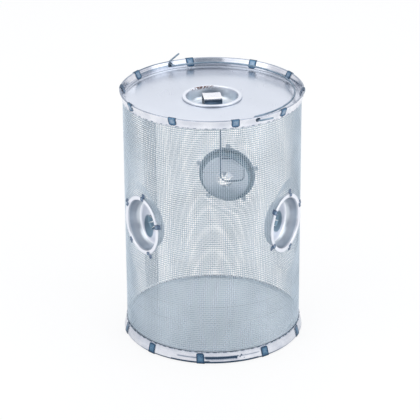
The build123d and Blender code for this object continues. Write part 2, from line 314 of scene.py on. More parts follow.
# Tones along the dish's profile: the low end is painted shade in the floor, 0.12 a painted highlight on
# the crease into the floor, 0.59 to 0.68 a painted highlight on the flange, and 0.70 the painted shade on
# the rear funnel's back wall.
dish_tones = [
    (0.035, (0.20, 0.29, 0.35)), (0.065, (0.80, 0.81, 0.85)), (0.10, (0.86, 0.87, 0.90)),
    (0.12, full), (0.145, (0.66, 0.70, 0.72)), (0.36, (0.68, 0.71, 0.73)),
    (0.53, (0.56, 0.62, 0.67)), (0.59, (0.95, 0.95, 0.96)), (0.68, (0.95, 0.95, 0.96)),
    (0.70, (0.22, 0.32, 0.38)), (0.96, (0.74, 0.78, 0.81)), (1.0, full),
]
pressed_steel = steel("pressed_steel", (0.90, 0.91, 0.94), (0.84, 0.86, 0.90), (0.30, 0.42), cloud=40.0,
                      dents=0.1, tint=temper_and_painted_shade("away", dish_tones, 0.02))
# The dark end is painted shade on the grip's legs.
strap_tones = [(0.30, (0.13, 0.18, 0.24)), (0.95, full)]
strap_steel = steel("strap_steel", (0.96, 0.96, 0.98), (0.86, 0.87, 0.90), (0.16, 0.28), cloud=80.0,
                    dents=0.1, tint=temper_and_painted_shade("away", strap_tones))

# %% Finishes of clips and eyelets
# Clip tones: light to dark blue temper colours; the darkest end is also painted shade at the edges.
clip_tones = [(0.0, (0.80, 0.84, 0.88)), (0.02, (0.37, 0.46, 0.55)), (0.25, (0.26, 0.36, 0.46)),
              (0.42, (0.16, 0.28, 0.39)), (0.70, (0.08, 0.15, 0.23)), (1.0, (0.03, 0.06, 0.10))]
clip_steel = steel("clip_steel", full, (0.52, 0.60, 0.72), (0.24, 0.42), cloud=450.0,
                   tint=temper_and_painted_shade("away", clip_tones, 0.15))
small_clip_tones = [(0.0, (0.92, 0.94, 0.96)), (0.02, (0.30, 0.40, 0.52)), (0.50, (0.26, 0.34, 0.44)),
                    (1.0, (0.13, 0.18, 0.26))]
small_clip_steel = steel("small_clip_steel", full, (0.76, 0.80, 0.86), (0.24, 0.42), cloud=300.0,
                         tint=temper_and_painted_shade("away", small_clip_tones, 0.15))
dark_steel = steel("dark_steel", (0.12, 0.16, 0.21), (0.05, 0.07, 0.10), (0.35, 0.50), cloud=400.0)
print("finishes", len([m for m in bpy.data.materials if m.use_nodes]) - 1)

# %% [markdown]
# ## Ways to make sheet metal
# Nearly every piece is sheet. Round pieces are a profile turned about an axis, and bent
# pieces are a strip with a thickness. Both could be made with modifiers, but a few lines
# of array maths keep the bends exact: `rounded` puts an arc on each corner of a profile,
# `spun` turns it, and `plate` thickens a grid of points into a closed sheet.

# %% Profiles and sheets
def rounded(corners, closed=True, steps=5):
    """Points along straight runs joined by arcs. A corner is (x, y, radius)."""
    line = []
    count = len(corners)
    for n, (x, y, radius) in enumerate(corners):
        here = Vector((x, y))
        if radius == 0 or (not closed and n in (0, count - 1)):
            line.append((x, y))
            continue
        before = (Vector(corners[n - 1][:2]) - here).normalized()
        after = (Vector(corners[(n + 1) % count][:2]) - here).normalized()
        half = before.angle(after) / 2
        reach = radius / tan(half)
        centre = here + (before + after).normalized() * (radius / sin(half))
        start = here + before * reach - centre
        turn = start.angle_signed(here + after * reach - centre)
        for k in range(steps + 1):
            a = -turn * k / steps
            line.append((centre.x + start.x * cos(a) - start.y * sin(a),
                         centre.y + start.x * sin(a) + start.y * cos(a)))
    return line


def beside(line, gap):
    """An open line moved sideways by gap, to the left of its own direction."""
    line = np.array(line, float)
    along = np.diff(line, axis=0)
    along /= np.linalg.norm(along, axis=1)[:, None]
    left = np.stack([-along[:, 1], along[:, 0]], 1)
    moved = [line[0] + left[0] * gap]
    for n in range(1, len(line) - 1):
        middle_way = left[n - 1] + left[n]
        moved.append(line[n] + middle_way * gap / (1 + left[n - 1] @ left[n]))
    moved.append(line[-1] + left[-1] * gap)
    return [tuple(p) for p in moved]


def denser(line, step):
    """The same line with more points on its long runs."""
    out = [line[0]]
    for a, b in zip(line, line[1:]):
        a, b = np.array(a), np.array(b)
        parts = max(1, int(np.linalg.norm(b - a) / step + 0.5))
        out += [tuple(a + (b - a) * k / parts) for k in range(1, parts + 1)]
    return out


def piece(name, points, faces, material, body, node, sharp=35.0):
    """A finished mesh object that rides on a body and stands for a CAD node."""
    mesh = bpy.data.meshes.new(name)
    mesh.from_pydata([tuple(p) for p in points], [], faces)
    mesh.update()
    mesh.polygons.foreach_set("use_smooth", [True] * len(mesh.polygons))
    if sharp:
        mesh.set_sharp_from_angle(angle=radians(sharp))
    mesh.materials.append(material)
    thing = bpy.data.objects.new(name + "_shape" if name == node else name, mesh)
    scene.collection.objects.link(thing)
    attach(thing, body)
    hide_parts(node)
    made[name] = len(mesh.polygons)
    return thing


def carry(thing, name, values):
    """Store one value per point, for a finish to read."""
    held = thing.data.attributes.new(name, "FLOAT", "POINT")
    held.data.foreach_set("value", np.asarray(values, np.float32))


def spun(profile, steps, change=None):
    """Points and faces of a closed profile of (radius, height) turned about Z.

    change may move the points: it gets the turn, radius and height of each.
    """
    line = np.array(profile, float)
    turn = np.linspace(0, 2 * pi, steps, endpoint=False)[:, None]
    radius = np.repeat(line[None, :, 0], steps, 0)
    height = np.repeat(line[None, :, 1], steps, 0)
    if change:
        radius, height = change(turn, radius, height)
    points = np.stack([radius * np.sin(turn), -radius * np.cos(turn), height], 2).reshape(-1, 3)
    count = len(line)
    faces = []
    for n in range(steps):
        a, b = n * count, (n + 1) % steps * count
        for k in range(count):
            after = (k + 1) % count
            faces.append((a + k, b + k, b + after, a + after))
    return points, faces


def plate(grid, thickness):
    """Points and faces of a sheet around a grid of points, closed at its edges."""
    grid = np.array(grid, float)
    rows, columns = grid.shape[:2]
    normal = np.cross(np.gradient(grid, axis=0), np.gradient(grid, axis=1))
    normal /= np.linalg.norm(normal, axis=2)[:, :, None]
    points = np.concatenate([(grid + normal * thickness / 2).reshape(-1, 3),
                             (grid - normal * thickness / 2).reshape(-1, 3)])
    under = rows * columns

    def at(r, c):
        return r * columns + c

    faces = []
    for r in range(rows - 1):
        for c in range(columns - 1):
            face = (at(r, c), at(r + 1, c), at(r + 1, c + 1), at(r, c + 1))
            faces.append(face)
            faces.append(tuple(under + k for k in reversed(face)))
    edge = [at(0, c) for c in range(columns)]
    edge += [at(r, columns - 1) for r in range(1, rows)]
    edge += [at(rows - 1, c) for c in range(columns - 2, -1, -1)]
    edge += [at(r, 0) for r in range(rows - 2, 0, -1)]
    for n, a in enumerate(edge):
        b = edge[(n + 1) % len(edge)]
        faces.append((a, b, under + b, under + a))
    return points, faces


def joined(shapes):
    """Several shapes as one list of points and one of faces."""
    points, faces, start = [], [], 0
    for some_points, some_faces in shapes:
        points.append(np.asarray(some_points, float))
        faces += [tuple(start + k for k in face) for face in some_faces]
        start += len(some_points)
    return np.concatenate(points), faces


made = {}

# %% [markdown]
# ## The woven wall
# The wall is plain weave: upright wires and rings pass over and under each other. A
# picture of a weave on a plain cylinder would be lighter, but its edges and its shadows
# inside the trap would be wrong, so every wire is made. Each wire is a four-sided tube
# that steps in and out at each crossing. The same function says where the wall is for
# all of them: a cylinder, pressed flat round each funnel, as the CAD wall is. The rings
# are painted darker than the uprights, as painted shade along the level wires, and four
# of them are duller still, which gives the wall the faint level bands of real mesh.

# %% Wall surface
wall_radius = 100.0 * mm
wall_low, wall_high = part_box("wall_mesh")[0].z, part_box("wall_mesh")[1].z
funnel_azimuths = {"left": -56.5, "right": 59.5, "rear": 169.5}
funnel_height = 150.0 * mm
funnel_seat = 94.4 * mm
weave_half = 0.45 * mm
land_radius = 41.0 * mm
land_slope = tan(radians(22.0))
soft = 0.3 * mm


def turned_from(turn, azimuth):
    """The turn measured from a funnel's own azimuth, between -pi and pi."""
    return (turn - radians(azimuth) + pi) % (2 * pi) - pi


def wall_at(turn, height):
    """Radius of the middle of the weave at a turn about Z and a height."""
    turn, height = np.broadcast_arrays(turn, height)
    radius = np.full(turn.shape, wall_radius)
    for azimuth in funnel_azimuths.values():
        off = turned_from(turn, azimuth)
        near = np.abs(off) < 1.2
        across, rise = np.sin(off[near]), height[near] - funnel_height
        found = radius[near]
        for _ in range(4):
            spread = np.hypot(found * across, rise)
            depth = funnel_seat - weave_half + np.maximum(spread - land_radius, 0) * land_slope
            found = np.minimum(wall_radius, depth / np.cos(off[near]))
        flat = depth / np.cos(off[near])
        radius[near] = -soft * np.logaddexp(-wall_radius / soft, -flat / soft)
    return radius


def outside_funnels(turn, height, hole):
    """How far a point of the wall lies outside the nearest funnel's hole, below 0 inside it."""
    turn, height = np.broadcast_arrays(turn, height)
    radius = wall_at(turn, height)
    least = np.full(turn.shape, 1.0)
    for azimuth in funnel_azimuths.values():
        off = turned_from(turn, azimuth)
        spread = np.hypot(radius * np.sin(off), height - funnel_height) - hole
        least = np.where(np.abs(off) < pi / 2, np.minimum(least, spread), least)
    return least


# %% Wires
wire_radius = 0.275 * mm
crimp = 0.24 * mm
pitch = 2.45 * mm
upright_count = 2 * round(pi * wall_radius / pitch)
hole_radius = 31.6 * mm
ring_count = int((wall_high - wall_low - 2 * wire_radius) / pitch)
ring_low = wall_low + (wall_high - wall_low - ring_count * pitch) / 2


def wire(turn, height, lift, closed=False, thick=wire_radius):
    """One wire through crossings given by arrays of turn, height and lift off the wall."""
    radius = wall_at(turn, height) + lift
    centre = np.stack([radius * np.sin(turn), -radius * np.cos(turn), height], 1)
    out = np.stack([np.sin(turn), -np.cos(turn), np.zeros(len(turn))], 1)
    if closed:
        along = np.roll(centre, -1, 0) - np.roll(centre, 1, 0)
    else:
        along = np.gradient(centre, axis=0)
    along /= np.linalg.norm(along, axis=1)[:, None]
    out -= along * np.sum(out * along, 1)[:, None]
    out /= np.linalg.norm(out, axis=1)[:, None]
    side = np.cross(along, out)
    ring = np.stack([out, side, -out, -side], 1) * thick
    points = (centre[:, None, :] + ring).reshape(-1, 3)
    count = len(turn)
    faces = []
    for n in range(count if closed else count - 1):
        a, b = 4 * n, 4 * ((n + 1) % count)
        faces += [(a, b, b + 1, a + 1), (a + 1, b + 1, b + 2, a + 2), (a + 2, b + 2, b + 3, a + 3),
                  (a + 3, b + 3, b, a)]
    if not closed:
        last = 4 * (count - 1)
        faces += [(0, 1, 2, 3), (last + 3, last + 2, last + 1, last)]
    return points, faces


def stretches(turn, height, lift, closed=False):
    """A wire cut where it meets a funnel's hole, each end exactly on the hole's edge."""
    room = outside_funnels(turn, height, hole_radius)
    if (room > 0).all():
        return [wire(turn, height, lift, closed)]
    if closed:
        first = int(np.argmin(room))
        turn, height, lift, room = [np.roll(v, -first) for v in (turn, height, lift, room)]
        turn = np.unwrap(turn)
    runs, run = [], []
    for n in range(len(turn)):
        if n and (room[n] > 0) != (room[n - 1] > 0):
            share = room[n - 1] / (room[n - 1] - room[n])
            cut = tuple(v[n - 1] + (v[n] - v[n - 1]) * share for v in (turn, height, lift))
            if room[n] > 0:
                run = [cut]
            else:
                runs.append(run + [cut])
                run = []
        if room[n] > 0:
            run.append((turn[n], height[n], lift[n]))
    if run:
        runs.append(run)
    return [wire(*np.array(r).T) for r in runs if len(r) > 1]


turns = np.arange(upright_count) * 2 * pi / upright_count
rings = ring_low + np.arange(ring_count + 1) * pitch
dull_heights = (50.0, 70.0, 124.0, 233.0)
dull_rings = [int(np.argmin(np.abs(rings - height * mm))) for height in dull_heights]
sway = 0.35 * mm / wall_radius


def swayed(turn, height):
    """The upright wires lean a little, as a hand-rolled weave does."""
    slow = sway * np.sin(3 * turn + height / (31 * mm))
    quick = 0.5 * sway * np.sin(7 * turn - height / (17 * mm))
    return turn + slow + quick


def sagged(turn, height):
    """The rings rise and fall a little on their way round."""
    held = np.sin(pi * (height - wall_low) / (wall_high - wall_low))
    return height + 0.3 * mm * np.sin(2 * turn + height / (40 * mm)) * held


uprights = {"front": [], "rear": []}
for i, turn in enumerate(turns):
    over = np.where((i + np.arange(ring_count + 1)) % 2 == 0, crimp, -crimp)
    half = "front" if cos(turn) > 0 else "rear"
    place = np.full(ring_count + 1, turn)
    uprights[half] += stretches(swayed(place, rings), sagged(place, rings), over)
bands = {"lower": [], "upper": [], "dull": []}
for k, height in enumerate(rings):
    over = np.where((k + np.arange(upright_count)) % 2 == 0, -crimp, crimp)
    band = "dull" if k in dull_rings else "lower" if k * 2 < ring_count else "upper"
    place = np.full(upright_count, height)
    bands[band] += stretches(swayed(turns, place), sagged(turns, place), over, closed=True)
for half, wires in uprights.items():
    piece("wall_uprights_" + half, *joined(wires), woven_wire, "cage", "wall_mesh", sharp=0)
for band, wires in bands.items():
    # The rings take the darker finishes, which carry painted shade.
    finish = dull_shaded_ring_wire if band == "dull" else shaded_ring_wire
    piece("wall_rings_" + band, *joined(wires), finish, "cage", "wall_mesh", sharp=0)
print("weave", upright_count, "uprights", ring_count + 1, "rings", sum(made.values()), "faces")

# %% [markdown]
# ## The seam of the wall
# The woven strip is rolled into a cylinder and its ends overlap by a finger's width at
# the rear left. The two layers together show as a darker band. The upper one is the same
# weave once more, on a slightly larger radius and half a gap higher, with two wires
# close together at one edge. At the other edge the rings were cut, and many of their
# ends are bent and frayed, so short thick stubs stand there at uneven heights.

# %% Seam
seam_from, seam_to = radians(221.6), radians(233.2)
seam_lift = 0.95 * mm
seam_low, seam_high = 14.2 * mm, 284.0 * mm
edge_gap = 0.55 * mm
stub_reach = np.array([1.6, 0.8, 0.1]) * mm
stub_radius = 0.5 * mm
seam_rings = rings[(rings > seam_low) & (rings < seam_high)] + pitch / 2
seam_turns = np.arange(seam_from, seam_to, pitch / wall_radius)
seam = []
for i, turn in enumerate(np.concatenate([[seam_from - edge_gap / wall_radius], seam_turns])):
    over = np.where((i + np.arange(len(seam_rings))) % 2 == 0, crimp, -crimp)
    place = np.full(len(seam_rings), turn)
    seam.append(wire(place, sagged(place, seam_rings), seam_lift + over))
for k, height in enumerate(seam_rings):
    over = np.where((k + np.arange(len(seam_turns))) % 2 == 0, -crimp, crimp)
    place = np.full(len(seam_turns), height)
    seam.append(wire(seam_turns, sagged(seam_turns, place), seam_lift + over))
for k, height in enumerate(seam_rings):
    if sin(2.1 * k) + sin(0.83 * k) > 0.2:
        ends = seam_to - stub_reach * (1 + 0.4 * sin(5 * k)) / wall_radius
        seam.append(wire(ends, np.full(3, height), np.full(3, seam_lift), thick=stub_radius))
# The seam's finish is painted darker, as painted shade of the two layers.
piece("wall_seam", *joined(seam), shaded_seam_wire, "cage", "wall_mesh", sharp=0)
print("seam", len(seam_turns) + 1, "uprights")

# %% [markdown]
# ## The folded rims
# Each rim is one strip of bright sheet, folded over on itself and flared outwards, whose
# feet straddle the edge of the weave. A rim rolled by hand is never quite true, and on
# bright sheet the eye reads that from the reflections, so the turned profile wanders by
# a few tenths of a millimetre. A value on the mesh paints shade into the rims' colour:
# dark lines along the fold, a broken painted shadow where each rim meets the weave, dark
# painted reflections inside the top rim at the rear, a darker upper half and a painted
# shaded crease half way up the bottom rim. The same value marks the real scratches
# beside the bottom rim's front clip.

# %% Rims
top_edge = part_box("top_rim")[1].z
bottom_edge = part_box("bottom_rim")[0].z
rim_outer, rim_inner = 101.4 * mm, 98.6 * mm
rim_lip, fold_width, fold_side = 103.6 * mm, 1.9 * mm, 1.2 * mm
rim_straight = 3.6 * mm
rim_skin = 0.8 * mm
overall_height = 295.0 * mm
top_rim_height, bottom_rim_height = 10.0 * mm, 13.0 * mm
top_clips = (14, 49, 87, 119, 152, 195, 238, 266, 299, 335)
bottom_clips = (35, 71, 107, 142, 178, 213, 248, 283, 317, 352)


def rim_line(height, inner_foot, edge, into):
    """The rim's outside from the foot of its outer skin to the foot of its inner skin."""
    flare = height - rim_straight
    return [
        (rim_outer, edge + into * height, 0),
        (rim_outer, edge + into * flare, 3.0 * mm),
        (rim_lip, edge + into * fold_side, 0.9 * mm),
        (rim_lip, edge, 0.7 * mm),
        (rim_lip - fold_width, edge, 0.7 * mm),
        (rim_inner, edge + into * flare, 3.0 * mm),
        (rim_inner, edge + into * inner_foot, 0),
    ]


def rim(name, height, inner_foot, edge, into, shade_and_marks):
    """A rim with a groove for the weave between its feet. The last argument gives the tone of each point:
    painted shade, and on the bottom rim real scratches too.
    """
    line = rounded(rim_line(height, inner_foot, edge, into), closed=False)
    groove = edge + into * (height - rim_straight)
    line += [(rim_inner + rim_skin, edge + into * inner_foot), (rim_inner + rim_skin, groove),
             (rim_outer - rim_skin, groove), (rim_outer - rim_skin, edge + into * height)]

    def untrue(turn, radius, level):
        """Let the free edge wander, and hold the feet, which grip the weave."""
        reach = (level - edge) / (into * height)
        free = 1 - np.clip(reach, 0, 1)
        wave = 0.16 * np.sin(3 * turn + 1 + into) + 0.10 * np.sin(8 * turn + 2) + 0.05 * np.sin(19 * turn)
        lift = 0.12 * np.sin(5 * turn + into) + 0.06 * np.sin(13 * turn + 1)
        return radius + wave * free * mm, level - np.abs(lift) * free * mm * -into

    line = denser(line + line[:1], 0.6 * mm)[:-1]
    points, faces = spun(line, 720, untrue)
    thing = piece(name, points, faces, rim_steel, "cage", name)
    turn = np.degrees(np.arctan2(points[:, 0], -points[:, 1])) % 360
    reach = np.abs(points[:, 2] - edge) / mm
    radius = np.hypot(points[:, 0], points[:, 1])
    outside = (radius > rim_lip - fold_width / 2) | ((reach > 3.0) & (radius > wall_radius))
    carry(thing, "away", shade_and_marks(turn, reach, outside))


def line_mark(turn, reach, centre, width, level, thick):
    """A soft dark line along the rim: 1 in its middle, given in degrees and millimetres."""
    off = np.abs((turn - centre + 180) % 360 - 180)
    return np.clip((width - off) / (0.15 * width) + 0.5, 0, 1) * np.exp(-((reach - level) / thick) ** 2)


def dashes(turn):
    """An uneven pattern of dashes round a rim, 0 to 1."""
    turn = np.radians(turn)
    return np.clip(0.5 + np.sin(61 * turn) + np.sin(97 * turn + 1) + 0.6 * np.sin(233 * turn), 0, 1)


def top_rim_shade(turn, reach, outside):
    """Tones of the top rim: painted shade on its edge, a broken painted shadow at its foot, and painted
    dark reflections and shade on its inner face at the rear.
    """
    # Painted shade: a dark line along the fold at the rim's top edge.
    tone = np.where(reach < 0.6, 0.30, 0.95)
    # Painted shadow: broken dark dashes where the rim's foot meets the weave.
    tone -= np.where(outside, 0.80 * dashes(turn) * np.clip((reach - 8.6) / 0.6, 0, 1), 0)
    # Painted reflections: dark streaks on the inner face at the rear.
    for level, thick, dark in ((2.4, 0.5, 0.5), (4.6, 0.7, 0.35), (6.6, 0.5, 0.5)):
        streak = line_mark(turn, reach, 165, 42, level + 0.5 * np.sin(np.radians(3 * turn)), thick)
        tone -= np.where(outside, 0, dark * streak)
    # Painted shade on the inner face where the seam starts.
    tone -= np.where(outside, 0, 0.75 * line_mark(turn, reach, 221, 15, 4.4, 4.0))
    return tone


def bottom_rim_shade_and_scratches(turn, reach, outside):
    """Tones of the bottom rim: painted shade on its underside, a painted shadow line at its top, a darker
    upper half, a painted shaded crease, and some real scratches.
    """
    front = np.abs((turn + 180) % 360 - 180)
    # Painted contact shade along the underside, wider and darkest at the front.
    under = 1.5 + 1.1 * np.exp(-(front / 30) ** 2)
    tone = np.where(reach < under, -0.15 + 0.6 * np.clip((front - 32) / 25, 0, 1), 0.95)
    # Painted shadow: a broken dark line where the rim meets the weave.
    tone -= np.where((reach > 12.2) & outside, 0.5 + 0.4 * dashes(turn), 0)
    # Painted shade: the upper half of the band is darker.
    tone -= 0.22 * np.clip((reach - 6.2) / 0.8, 0, 1) * (reach < 12.2)
    # Painted shade along the crease half way up and a fainter line lower down, thickest beside the front
    # clip.
    tone -= 1.3 * line_mark(turn, reach, 5.0, 10.5, 6.3, 1.5)
    tone -= 0.40 * line_mark(turn, reach, 6.0, 11.0, 3.6, 1.4)
    tone -= 0.75 * line_mark(turn, reach, -15.0, 9.0, 6.2, 1.0)
    tone -= 0.60 * line_mark(turn, reach, 24.0, 7.0, 6.8, 0.8)
    # Real scratches beside the front clip.
    for centre, level in ((14.6, 5.2), (16.0, 7.2), (17.3, 5.9), (18.4, 7.9), (20.0, 4.2)):
        tone -= 0.9 * line_mark(turn, reach, centre, 0.5, level, 0.7)
    return tone


disc_recess = 11.5 * mm
top_disc_level = overall_height - disc_recess
disc_gap = 0.6 * mm
top_rim_foot = top_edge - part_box("top_disc")[1].z - disc_gap
bottom_rim_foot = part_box("floor_disc")[0].z - disc_gap - bottom_edge
rim("top_rim", top_rim_height, top_rim_foot, top_edge, -1, top_rim_shade)
rim("bottom_rim", bottom_rim_height, bottom_rim_foot, bottom_edge, 1, bottom_rim_shade_and_scratches)
print("rims at", round(bottom_edge / mm, 2), "and", round(top_edge / mm, 2), "mm")

# %% [markdown]
# ## The clips over the rims
# Ten short strips are folded over each rim and pinched to both skins. They were heated
# to close them, so their middles carry light blue temper colour, and their dark slate
# edges are temper colour with painted shade on them. A strip is a line beside the rim's
# own profile, swept a little way round the axis. Its corners are cut round, its outer
# leg bulges, since only the ends were pinched, and it carries a value that grows from
# its middle to its edges.

# %% Rim clips
clip_sheet = 0.5 * mm
clip_half_width = 4.5 * mm
clip_reach, bottom_clip_reach = 8.6 * mm, 11.8 * mm
clip_gap = 0.12 * mm


def strip_points(line, half_width, corner, columns=9):
    """Across and along positions of a strip with round corners: along is a share of its length."""
    line = np.array(line)
    length = np.concatenate([[0], np.cumsum(np.linalg.norm(np.diff(line, axis=0), axis=1))])
    total = length[-1]
    near_end = np.minimum(length, total - length)
    left_over = np.sqrt(np.maximum(corner**2 - (corner - near_end) ** 2, 0))
    cut = np.where(near_end < corner, corner - left_over, 0)
    across = np.linspace(-1, 1, columns)[None, :] * (half_width - cut)[:, None]
    return across, length / total


def leg_end(height, edge, into, reach, straight, flared, flared_at):
    """Where a clip's leg ends on one skin, and the bend before it if the leg passes the flare."""
    flare = height - rim_straight
    if reach > flare:
        return [(straight, edge + into * reach, 0), (straight, edge + into * flare, 3.0 * mm)]
    share = (flare - reach) / (flare - flared_at)
    return [(straight + (flared - straight) * share, edge + into * reach, 0)]


def rim_clips(name, height, edge, into, clip_turns, outer_reach):
    """All the clips of one rim, dressed round it. The inner leg stays clear of the disc."""
    fold = rim_line(height, clip_reach, edge, into)[2:5]
    outside = leg_end(height, edge, into, outer_reach, rim_outer, rim_lip, fold_side)
    inside = leg_end(height, edge, into, clip_reach, rim_inner, rim_lip - fold_width, 0.0)
    line = rounded(outside + fold + inside[::-1], closed=False, steps=4)
    line = beside(line, into * (clip_gap + clip_sheet / 2))
    line = denser(line, 0.5 * mm)
    across, along = strip_points(line, clip_half_width, 2.4 * mm, columns=13)
    line = np.array(line)
    shapes, temper_and_edge_shade = [], []
    for n, azimuth in enumerate(clip_turns):
        bend = radians(azimuth) + across / line[:, :1]
        lean = 0.02 * sin(5 * n + into)
        bend = bend + lean * (along[:, None] - 0.5)
        crown = np.sin(pi * np.clip(along * 2.4, 0, 1))[:, None]
        radius = line[:, :1] + 0.35 * mm * (1 - (across / clip_half_width) ** 2) * crown
        level = np.broadcast_to(line[:, 1:], bend.shape)
        grid = np.stack([radius * np.sin(bend), -radius * np.cos(bend), level], 2)
        if into > 0:
            grid = grid[:, ::-1]
        shapes.append(plate(grid, clip_sheet))
        # Light temper colour in each clip's middle; the dark edges are temper colour with painted shade
        # on them. The bottom rim's clips are darker all over.
        ends = np.abs(np.abs(along[:, None] - 0.5) - 0.25) * 4
        blob = np.clip(np.maximum(np.abs(across / clip_half_width), ends), 0, 1) ** 2.6
        blob = (blob if into < 0 else 0.3 + 0.7 * blob).ravel()
        temper_and_edge_shade += [np.full(len(blob), -1.0), blob]
    thing = piece(name, *joined(shapes), clip_steel, "cage", name, sharp=50)
    carry(thing, "away", np.concatenate(temper_and_edge_shade))


rim_clips("top_rim_clips", top_rim_height, top_edge, -1, top_clips, clip_reach)
rim_clips("bottom_rim_clips", bottom_rim_height, bottom_edge, 1, bottom_clips, bottom_clip_reach)
print("rim clips", len(top_clips) + len(bottom_clips))

# %% [markdown]
# ## The floor and the top sheet
# Both are flat discs with a small upturned lip that stands against the weave. Flat
# bright sheet is never flat: a shallow bow and a few slow waves bend the mirror image
# of the rim near its edge. The top sheet has the hatch's hole in its middle.

# %% Discs
disc_sheet = 0.8 * mm
disc_edge = 99.4 * mm


def disc(name, top, hole, material):
    """A sheet disc with a lip, its upper face at this level."""
    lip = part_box(name)[1].z
    ring = [
        (hole, top - disc_sheet, 0),
        (disc_edge, top - disc_sheet, 1.4 * mm),
        (disc_edge, lip, 0.3 * mm),
        (disc_edge - disc_sheet, lip, 0.3 * mm),
        (disc_edge - disc_sheet, top, 0.6 * mm),
        (hole, top, 0),
    ]
    line = rounded(ring)
    inner = np.linspace(disc_edge - 2.2 * mm, hole, 16)
    under = [(r, top - disc_sheet) for r in inner[:0:-1]]
    over = [(r, top) for r in inner[:-1]]
    line = line[:1] + under + line[1:-1] + over + line[-1:]

    def bowed(turn, radius, level):
        """Slow waves in the flat part. The edge and the hole's surround stay true."""
        from_edge = np.clip((disc_edge - 4 * mm - radius) / (20 * mm), 0, 1)
        flat = from_edge * np.clip((radius - hole - 6 * mm) / (15 * mm), 0, 1)
        wave = 0.10 * np.sin(2 * turn + radius / (22 * mm)) + 0.06 * np.sin(5 * turn - radius / (13 * mm))
        return radius, level + wave * flat * mm

    points, faces = spun(line, 360, bowed)
    piece(name, points, faces, material, "cage", name)


hatch_hole = 31.1 * mm
disc("top_disc", top_disc_level, hatch_hole, disc_steel)
disc("floor_disc", disc_recess + disc_sheet, 0.02 * mm, floor_steel)
print("faces so far", sum(made.values()))

# %% [markdown]
# ## The pressed dishes
# One press tool makes four dishes: a hemmed flange, a bowl with a wide curve into its
# flat floor. In three of them a star is cut in the floor and its eight tongues are bent
# inwards, so that a bee can push in but not find its way out. The bowl is a turned
# profile whose inner edge follows the eight-sided opening. The tongues are small plates
# with a real bend at the root, and no two are bent quite alike. The bowl shades one
# side of the star more than the lamps here do, so a few values darken it there.

# %% Dish
dish_sheet = 0.7 * mm
dish_mouth, dish_flange, dish_floor = 29.5 * mm, 34.0 * mm, 26.5 * mm
dish_depth, dish_crown = 13.5 * mm, 2.0 * mm
dish_corner = 7.0 * mm
star_apothem = 10.4 * mm
tongue_count = 8
tongue_bend = radians(62.0)
touch_gap = 0.06 * mm


def dish_line(inner):
    """The dish's closed profile, out from inner along the floor and back under it."""
    under = -dish_depth - dish_sheet
    return rounded([
        (inner, -dish_depth, 0),
        (dish_floor, -dish_depth, dish_corner),
        (dish_mouth, dish_crown, 1.2 * mm),
        (dish_flange, dish_crown, 0.9 * mm),
        (dish_flange, 0.0, 0.4 * mm),
        (dish_mouth + dish_sheet + 0.4 * mm, 0.0, 0.4 * mm),
        (dish_floor + dish_sheet, under, dish_corner + dish_sheet),
        (inner, under, 0),
    ], steps=9)


def star_edge(turn, radius, level):
    """Move the profile's inner end out to the eight-sided opening."""
    step = 2 * pi / tongue_count
    off = (turn + step / 2) % step - step / 2
    return np.where(radius < star_apothem * 1.001, star_apothem / np.cos(off), radius), level


def tongue(turn, bend):
    """One tongue of the star, bent down from the edge of the opening."""
    half_root = star_apothem * tan(pi / tongue_count) - 0.25 * mm
    half_tip = 0.6 * mm
    length = star_apothem - half_tip / tan(pi / tongue_count)
    rows = 14
    grid = []
    inward, down = 0.0, 0.0
    for n in range(rows):
        share = n / (rows - 1)
        angle = bend * min(1.0, share * length / (1.3 * mm))
        half = half_root + (half_tip - half_root) * share
        across = np.linspace(-half, half, 5)
        radius = star_apothem - inward
        level = -dish_depth - dish_sheet / 2 - down
        grid.append([(radius * sin(turn) + a * cos(turn), -radius * cos(turn) + a * sin(turn), level)
                     for a in across])
        inward += cos(angle) * length / (rows - 1)
        down += sin(angle) * length / (rows - 1)
    return plate(grid, dish_sheet)


def funnel_frame(azimuth):
    """The place of a funnel: its mouth looks outwards and its second axis is up."""
    a = radians(azimuth)
    out = Vector((sin(a), -cos(a), 0))
    across = Vector((cos(a), sin(a), 0))
    place = out * (funnel_seat + touch_gap) + Vector((0, 0, funnel_height))
    turned = Matrix((across, Vector((0, 0, 1)), out)).transposed().to_4x4()
    return Matrix.Translation(place) @ turned


def placed(points, matrix):
    """Points of a shape moved by a matrix."""
    points = np.asarray(points, float)
    turn = np.array(matrix.to_3x3())
    return points @ turn.T + np.array(matrix.translation)


def dish_tone(line, back_wall=0.70):
    """A value for each point of the dish's profile. Inside the bowl it grows from 0.06 on the
    floor to 0.6 on the flange, and above 0.68 it stands for the back."""
    line = np.array(line)
    outermost = int(np.argmax(line[:, 0]))
    share = np.clip(1 + (line[:, 1] - 0.8 * mm) / (dish_depth + 0.8 * mm), 0, 1)
    back = (np.arange(len(line)) > outermost) & (line[:, 1] < 0.05 * mm)
    return np.where(back, np.where(line[:, 1] < -10.8 * mm, 0.95, back_wall), 0.06 + 0.54 * share)


def shade(points, values, centre, size, mouth):
    """Darken the floor and the tongues round a place, on the mouth side or on the back."""
    off = (points[:, :2] - np.array(centre) * mm) / (np.array(size) * mm)
    apart = np.hypot(off[:, 0], off[:, 1])
    if mouth:
        return np.where(values < 0.13, np.clip((apart - 0.85) / 0.3, 0, 1) * values, values)
    return np.where(values > 0.9, values - 0.14 * np.clip(1.5 - apart, 0, 1), values)


